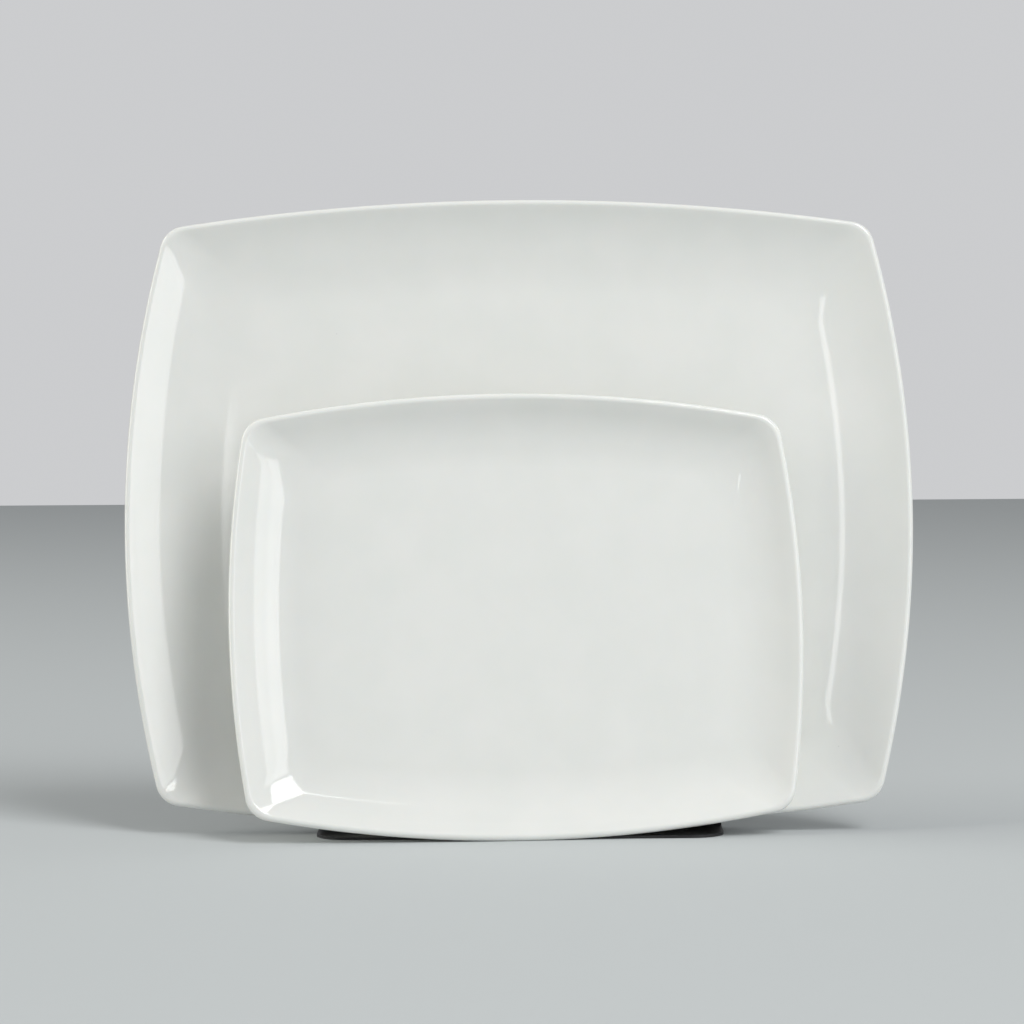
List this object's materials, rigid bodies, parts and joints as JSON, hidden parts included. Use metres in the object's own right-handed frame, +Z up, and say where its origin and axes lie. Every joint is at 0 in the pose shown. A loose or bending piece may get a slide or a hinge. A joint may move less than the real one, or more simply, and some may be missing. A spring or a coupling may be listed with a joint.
{
  "type": "china serving platter set",
  "caption": "White glazed china serving platters with bowed sides and coved walls, a smaller one nested before a larger one on a folding black easel.",
  "frame": {"origin": "on the table, at the centre of the footprint of the whole set", "axes": "+X to the viewer's right across the platters, +Y away from the viewer, +Z up"},
  "size_m": [0.36, 0.1116, 0.2875],
  "materials": {
    "white_glaze": "gloss",
    "black_steel": "satin",
    "pin_steel": "satin",
    "black_rubber": "matte"
  },
  "bodies": {
    "easel": {"easel_plate": "black_steel", "rim_strip": "black_rubber", "back_pads": "black_rubber", "hinge_leaf": "black_steel", "hinge_rivets": "pin_steel", "hinge_pin": "pin_steel"},
    "leg": {"prop_leg": "black_steel", "leg_shoe": "black_rubber"},
    "large_platter": {"large_platter": "white_glaze"},
    "small_platter": {"small_platter": "white_glaze"}
  },
  "joints": [
    {"name": "large_platter_lift", "type": "slide", "parent": "easel", "child": "large_platter", "axis": [0, 0, 1], "range_m": [0, 0.215]},
    {"name": "small_platter_lift", "type": "slide", "parent": "large_platter", "child": "small_platter", "axis": [0, -0.866, 0.5], "range_m": [0, 0.15]},
    {"name": "leg_fold", "type": "hinge", "parent": "easel", "child": "leg", "pos_m": [0, 0.02363, 0.13937], "axis": [-1, 0, 0], "range_deg": [0, 21.5]}
  ]
}
